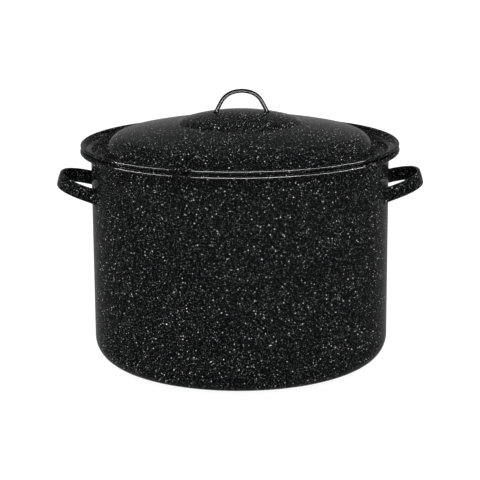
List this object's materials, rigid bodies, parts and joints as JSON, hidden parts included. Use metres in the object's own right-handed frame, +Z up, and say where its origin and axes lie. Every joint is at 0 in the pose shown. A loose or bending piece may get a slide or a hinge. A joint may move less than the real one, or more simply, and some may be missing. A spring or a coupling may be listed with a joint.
{
  "type": "water bath canner",
  "caption": "Tall black speckled enamel pot with strap side handles, a domed lid with a wire bail, and a lift-out chromed wire rack that holds jars under water.",
  "frame": {"origin": "centre of the flat base, on the surface that the pot stands on", "axes": "+Z up along the pot's axis, +X through the right side handle, -Y towards the viewer"},
  "size_m": [0.414, 0.3584, 0.3061],
  "materials": {
    "enamel": "gloss black vitreous enamel with fine white speckles",
    "chrome_wire": "bright chromed steel wire"
  },
  "bodies": {
    "pot": {"pot_shell": "enamel", "side_handle_left": "enamel", "side_handle_right": "enamel"},
    "lid": {"lid_shell": "enamel", "lid_handle": "enamel"},
    "rack": {"rack_top_ring": "chrome_wire", "rack_centre_ring": "chrome_wire", "rack_floor_ring_inner": "chrome_wire", "rack_floor_ring_outer": "chrome_wire", "rack_divider_1": "chrome_wire", "rack_divider_2": "chrome_wire", "rack_divider_3": "chrome_wire", "rack_divider_4": "chrome_wire", "rack_divider_5": "chrome_wire", "rack_divider_6": "chrome_wire", "rack_cross_bar_front": "chrome_wire", "rack_cross_bar_rear": "chrome_wire"},
    "rack_handle_left": {"rack_handle_left": "chrome_wire"},
    "rack_handle_right": {"rack_handle_right": "chrome_wire"}
  },
  "joints": [
    {"name": "rack_lift", "type": "slide", "parent": "pot", "child": "rack", "axis": [0, 0, 1], "range_m": [0, 0.26]},
    {"name": "lid_lift", "type": "slide", "parent": "rack", "child": "lid", "axis": [0, 0, 1], "range_m": [0, 0.2]},
    {"name": "rack_handle_left_swing", "type": "hinge", "parent": "rack", "child": "rack_handle_left", "pos_m": [-0.14457, 0, 0.062], "axis": [0, -1, 0], "range_deg": [0, 86]},
    {"name": "rack_handle_right_swing", "type": "hinge", "parent": "rack", "child": "rack_handle_right", "pos_m": [0.14457, 0, 0.062], "axis": [0, 1, 0], "range_deg": [0, 86]}
  ]
}
